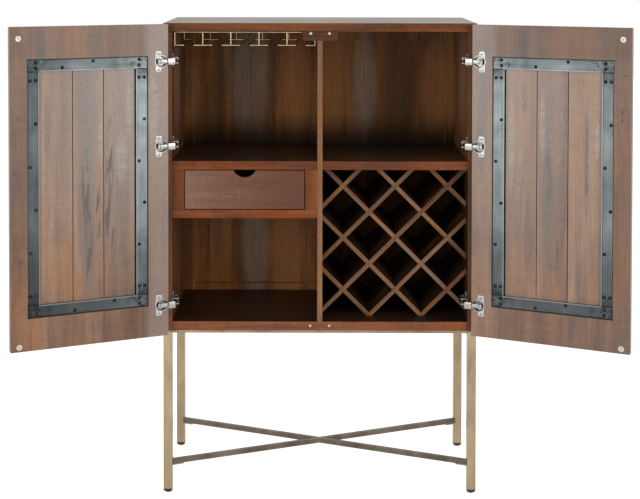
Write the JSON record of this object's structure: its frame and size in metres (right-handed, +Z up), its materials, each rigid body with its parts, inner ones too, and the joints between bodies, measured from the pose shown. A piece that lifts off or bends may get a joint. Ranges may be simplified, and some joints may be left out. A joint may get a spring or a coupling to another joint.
{
  "type": "bar cabinet",
  "caption": "Free-standing bar cabinet with double doors, shelves, a drawer, a diamond wine lattice and a stemware rack, on a square-tube stand with a crossed stretcher.",
  "frame": {"origin": "middle of the open cabinet's bounding box, on the floor", "axes": "+X to the right as seen from the front, +Y to the back, so the doors open towards -Y, +Z up"},
  "size_m": [1.7242, 0.6172, 1.378],
  "materials": {
    "wood": "satin stained hardwood",
    "dark_wood": "dark stained, satin",
    "blackened_iron": "brushed, blackened, waxed",
    "nickel": "nickel plated",
    "antique_brass": "antiqued brass",
    "bright_brass": "polished brass wire",
    "black_nylon": "moulded nylon"
  },
  "bodies": {
    "cabinet": {"top_panel": "wood", "bottom_panel": "wood", "left_side": "wood", "left_shelf": "wood", "right_side": "wood", "right_shelf": "wood", "centre_divider": "wood", "catch_block": "wood", "back_frame": "dark_wood", "back_sheet": "dark_wood", "drawer_deck": "wood", "left_drawer_guide": "wood", "right_drawer_guide": "wood", "lattice_falling_1": "wood", "lattice_falling_2": "wood", "lattice_falling_3": "wood", "lattice_falling_4": "wood", "lattice_falling_5": "wood", "lattice_rising_1": "wood", "lattice_rising_2": "wood", "lattice_rising_3": "wood", "lattice_rising_4": "wood", "lattice_rising_5": "wood", "stemware_rack": "bright_brass", "stand_frame": "antique_brass", "stretcher": "antique_brass", "left_top_hinge_arm": "nickel", "left_middle_hinge_arm": "nickel", "left_bottom_hinge_arm": "nickel", "right_top_hinge_arm": "nickel", "right_middle_hinge_arm": "nickel", "right_bottom_hinge_arm": "nickel"},
    "left_door": {"left_door_frame": "wood", "left_door_planks": "wood", "left_iron_frame": "blackened_iron", "left_door_pull": "antique_brass", "left_top_hinge_cup": "nickel", "left_middle_hinge_cup": "nickel", "left_bottom_hinge_cup": "nickel"},
    "right_door": {"right_door_frame": "wood", "right_door_planks": "wood", "right_iron_frame": "blackened_iron", "right_door_pull": "antique_brass", "right_top_hinge_cup": "nickel", "right_middle_hinge_cup": "nickel", "right_bottom_hinge_cup": "nickel"},
    "left_hinge_links": {"left_top_hinge_link": "nickel", "left_middle_hinge_link": "nickel", "left_bottom_hinge_link": "nickel"},
    "right_hinge_links": {"right_top_hinge_link": "nickel", "right_middle_hinge_link": "nickel", "right_bottom_hinge_link": "nickel"},
    "drawer": {"drawer_front": "wood", "drawer_box": "dark_wood", "drawer_bottom": "dark_wood"},
    "front_left_glide": {"front_left_foot": "black_nylon"},
    "front_right_glide": {"front_right_foot": "black_nylon"},
    "back_left_glide": {"back_left_foot": "black_nylon"},
    "back_right_glide": {"back_right_foot": "black_nylon"}
  },
  "joints": [
    {"name": "left_door_hinge", "type": "hinge", "parent": "cabinet", "child": "left_door", "pos_m": [-0.4502, -0.11039, 0.925], "axis": [0, 0, -1], "range_deg": [-156, 0]},
    {"name": "left_link_pivot", "type": "hinge", "parent": "left_door", "child": "left_hinge_links", "pos_m": [-0.46161, -0.13934, 1.024], "axis": [0, 0, -1], "range_deg": [0, 125]},
    {"name": "right_door_hinge", "type": "hinge", "parent": "cabinet", "child": "right_door", "pos_m": [0.4502, -0.11039, 0.925], "axis": [0, 0, 1], "range_deg": [-156, 0]},
    {"name": "right_link_pivot", "type": "hinge", "parent": "right_door", "child": "right_hinge_links", "pos_m": [0.46161, -0.13934, 1.024], "axis": [0, 0, 1], "range_deg": [0, 125]},
    {"name": "drawer_slide", "type": "slide", "parent": "cabinet", "child": "drawer", "axis": [0, -1, 0], "range_m": [0, 0.25]},
    {"name": "front_left_level", "type": "slide", "parent": "cabinet", "child": "front_left_glide", "axis": [0, 0, -1], "range_m": [0, 0.01]},
    {"name": "front_right_level", "type": "slide", "parent": "cabinet", "child": "front_right_glide", "axis": [0, 0, -1], "range_m": [0, 0.01]},
    {"name": "back_left_level", "type": "slide", "parent": "cabinet", "child": "back_left_glide", "axis": [0, 0, -1], "range_m": [0, 0.01]},
    {"name": "back_right_level", "type": "slide", "parent": "cabinet", "child": "back_right_glide", "axis": [0, 0, -1], "range_m": [0, 0.01]}
  ],
  "couplings": [
    {"joint": "left_link_pivot", "follows": "left_door_hinge", "ratio": -0.8},
    {"joint": "right_link_pivot", "follows": "right_door_hinge", "ratio": -0.8}
  ]
}
